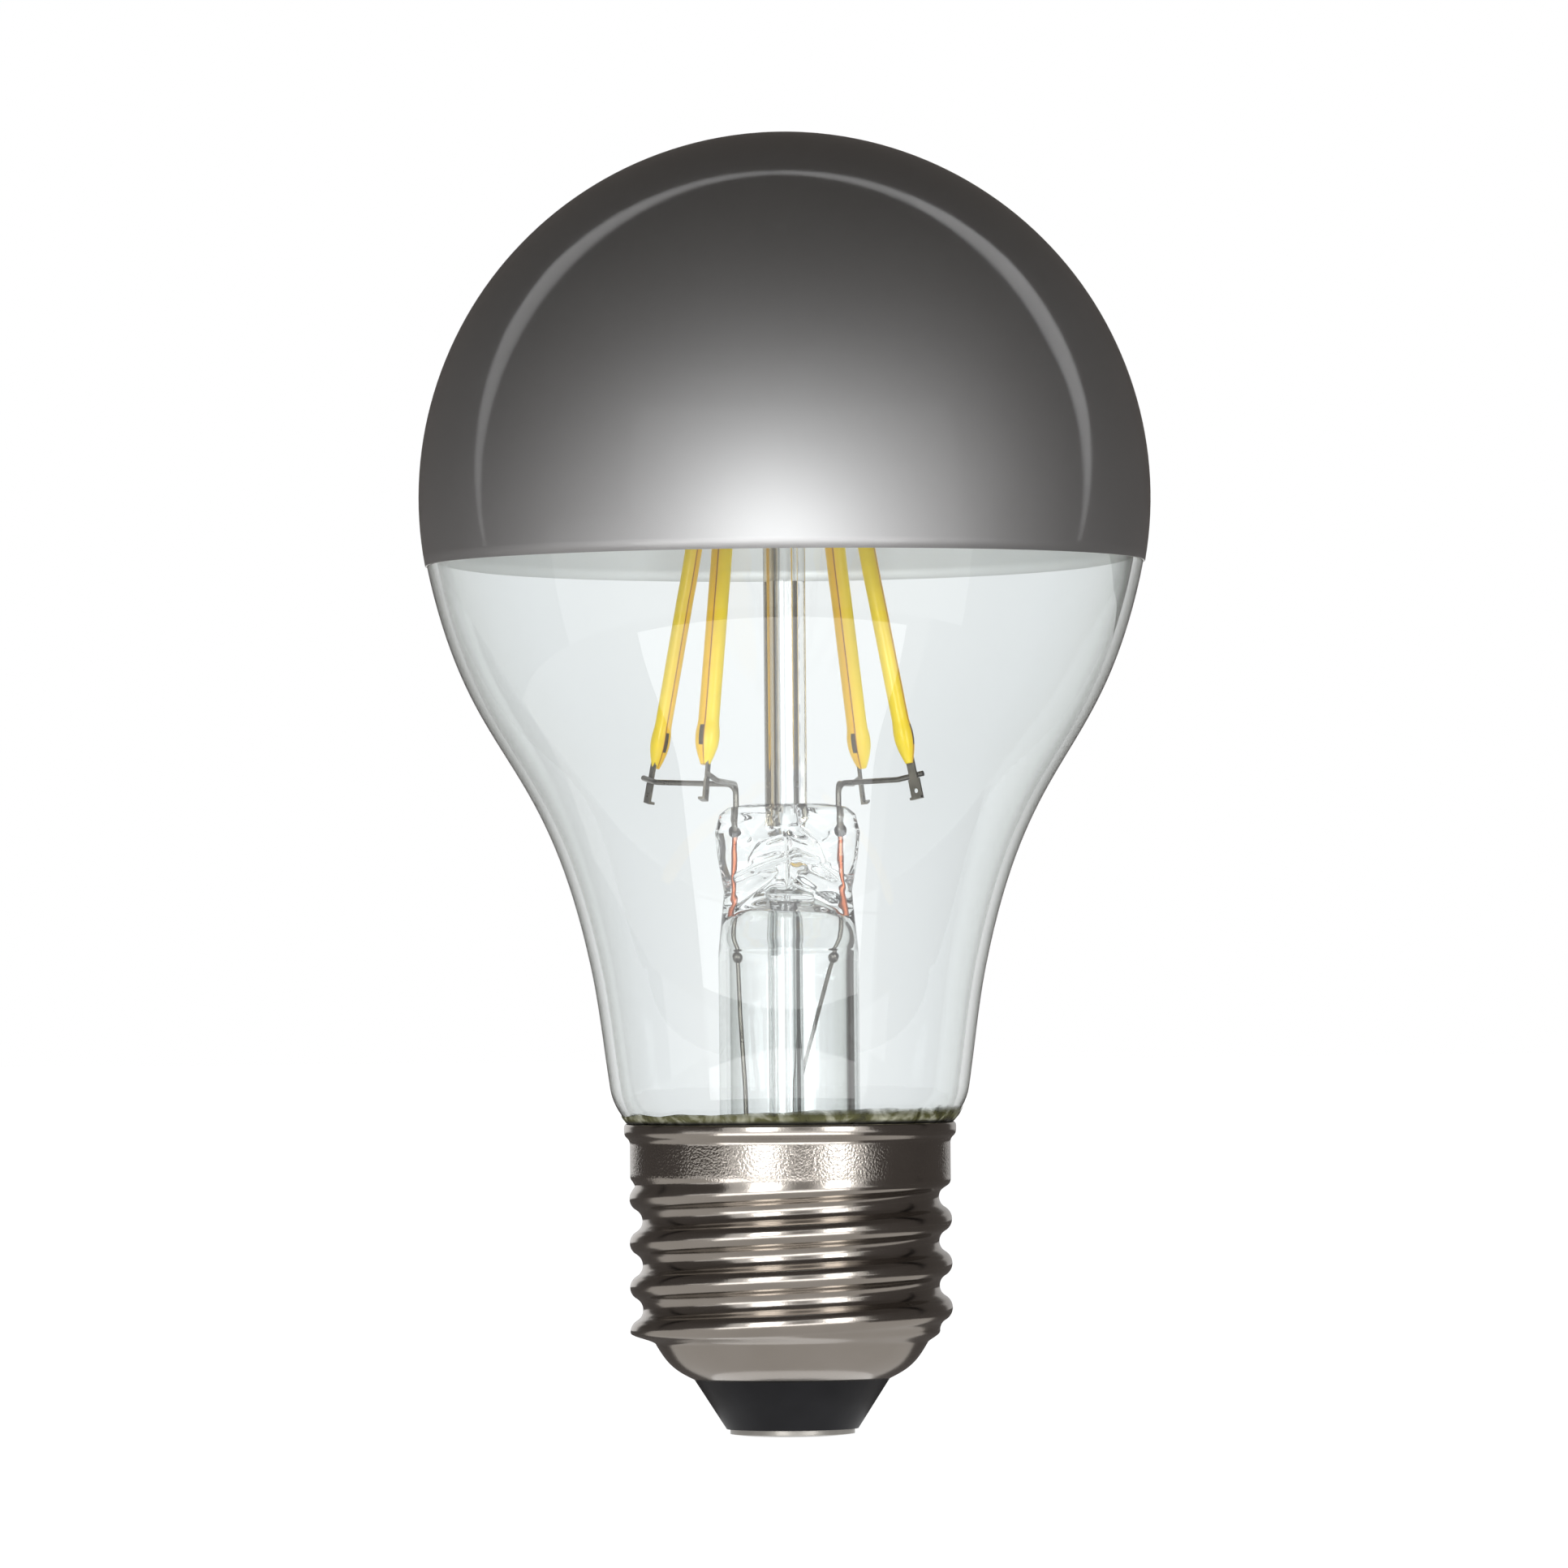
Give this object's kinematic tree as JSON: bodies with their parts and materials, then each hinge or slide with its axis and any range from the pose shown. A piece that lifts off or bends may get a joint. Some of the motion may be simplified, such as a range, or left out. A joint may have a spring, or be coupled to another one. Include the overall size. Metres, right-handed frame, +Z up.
{
  "type": "led bulb",
  "caption": "Half-mirrored LED filament lamp: pear-shaped clear glass with a mirrored crown, upright LED filaments on a glass stem, and an Edison screw cap with a centre contact.",
  "frame": {"origin": "centre of the underside of the centre contact, the lowest point of the lamp", "axes": "+Z up the lamp's axis from the cap to the crown, +X to the right in the picture and -Y towards its camera"},
  "size_m": [0.06, 0.06, 0.1068],
  "materials": {
    "cap_metal": "nickel plated rolled sheet, satin",
    "black_insulator": "black vitrite, glossy",
    "contact_metal": "tinned, satin",
    "clear_glass": "clear, polished",
    "mirror_coat": "dark silver coat under clear lacquer",
    "cement": "olive lamp cement, rough",
    "stem_glass": "clear, fire polished",
    "exhaust_glass": "clear, fire polished",
    "rod_glass": "clear, fire polished",
    "dumet_copper": "copper clad, borated",
    "outer_lead": "drawn wire",
    "bridge_wire": "drawn nickel wire",
    "inner_lead": "drawn nickel wire",
    "filament_strip": "plain ceramic",
    "filament_tab": "stamped strip",
    "phosphor": "yellow phosphor in silicone, satin",
    "board": "bare laminate",
    "chip_black": "moulded",
    "capacitor_sleeve": "shrunk sleeve",
    "fuse_body": "lacquered",
    "hook_wire": "tinned wire"
  },
  "bodies": {
    "root": {"cap_shell": "cap_metal", "cap_insulator": "black_insulator", "centre_contact": "contact_metal", "glass_bulb": "clear_glass", "crown_mirror": "mirror_coat", "cap_cement": "cement", "stem_glass": "stem_glass", "exhaust_tube": "exhaust_glass", "centre_rod": "rod_glass", "dumet_wire_left": "dumet_copper", "dumet_wire_right": "dumet_copper", "outer_lead_left": "outer_lead", "outer_lead_right": "outer_lead", "top_wire_front": "bridge_wire", "top_wire_rear": "bridge_wire", "driver_board": "board", "bridge_rectifier": "chip_black", "driver_chip": "chip_black", "smoothing_capacitor": "capacitor_sleeve", "fuse_resistor": "fuse_body", "contact_lead": "hook_wire", "shell_lead": "hook_wire", "inner_lead_rear_left": "inner_lead", "filament_strip_rear_left": "filament_strip", "filament_lower_tab_rear_left": "filament_tab", "filament_upper_tab_rear_left": "filament_tab", "filament_phosphor_rear_left": "phosphor", "inner_lead_front_left": "inner_lead", "filament_strip_front_left": "filament_strip", "filament_lower_tab_front_left": "filament_tab", "filament_upper_tab_front_left": "filament_tab", "filament_phosphor_front_left": "phosphor", "inner_lead_rear_right": "inner_lead", "filament_strip_rear_right": "filament_strip", "filament_lower_tab_rear_right": "filament_tab", "filament_upper_tab_rear_right": "filament_tab", "filament_phosphor_rear_right": "phosphor", "inner_lead_front_right": "inner_lead", "filament_strip_front_right": "filament_strip", "filament_lower_tab_front_right": "filament_tab", "filament_upper_tab_front_right": "filament_tab", "filament_phosphor_front_right": "phosphor"}
  },
  "joints": []
}
